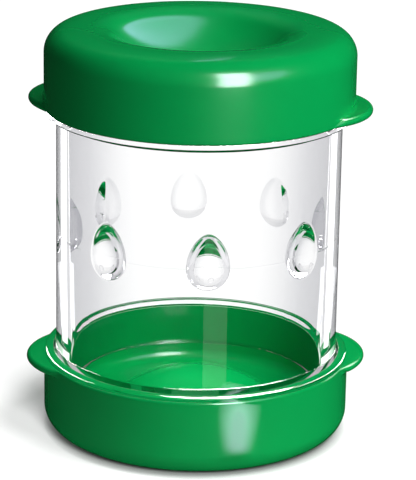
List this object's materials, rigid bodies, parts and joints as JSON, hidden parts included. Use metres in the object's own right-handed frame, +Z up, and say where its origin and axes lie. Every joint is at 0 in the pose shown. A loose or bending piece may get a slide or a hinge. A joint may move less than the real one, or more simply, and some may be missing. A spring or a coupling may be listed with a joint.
{
  "type": "egg peeler",
  "caption": "Shake-type egg peeler: clear plastic tube with drop-shaped nubs inside, closed at each end by a green push-on cap with pull tabs and a dished top.",
  "frame": {"origin": "centre of the flat ring under the bottom cap, on the surface that the peeler stands on", "axes": "+Z up along the tube's axis, +X through the bottom cap's two tabs, +Y away from the viewer of the picture"},
  "size_m": [0.0774, 0.0694, 0.0932],
  "materials": {
    "cap_green": "glossy moulded plastic, green all through",
    "clear_plastic": "clear, polished, uncoloured moulded plastic"
  },
  "bodies": {
    "bottom_cap": {"bottom_cap": "cap_green"},
    "tube": {"tube": "clear_plastic"},
    "top_cap": {"top_cap": "cap_green"}
  },
  "joints": [
    {"name": "tube_lift", "type": "slide", "parent": "bottom_cap", "child": "tube", "axis": [0, 0, 1], "range_m": [0, 0.07]},
    {"name": "top_cap_lift", "type": "slide", "parent": "tube", "child": "top_cap", "axis": [0, 0, 1], "range_m": [0, 0.07]}
  ]
}
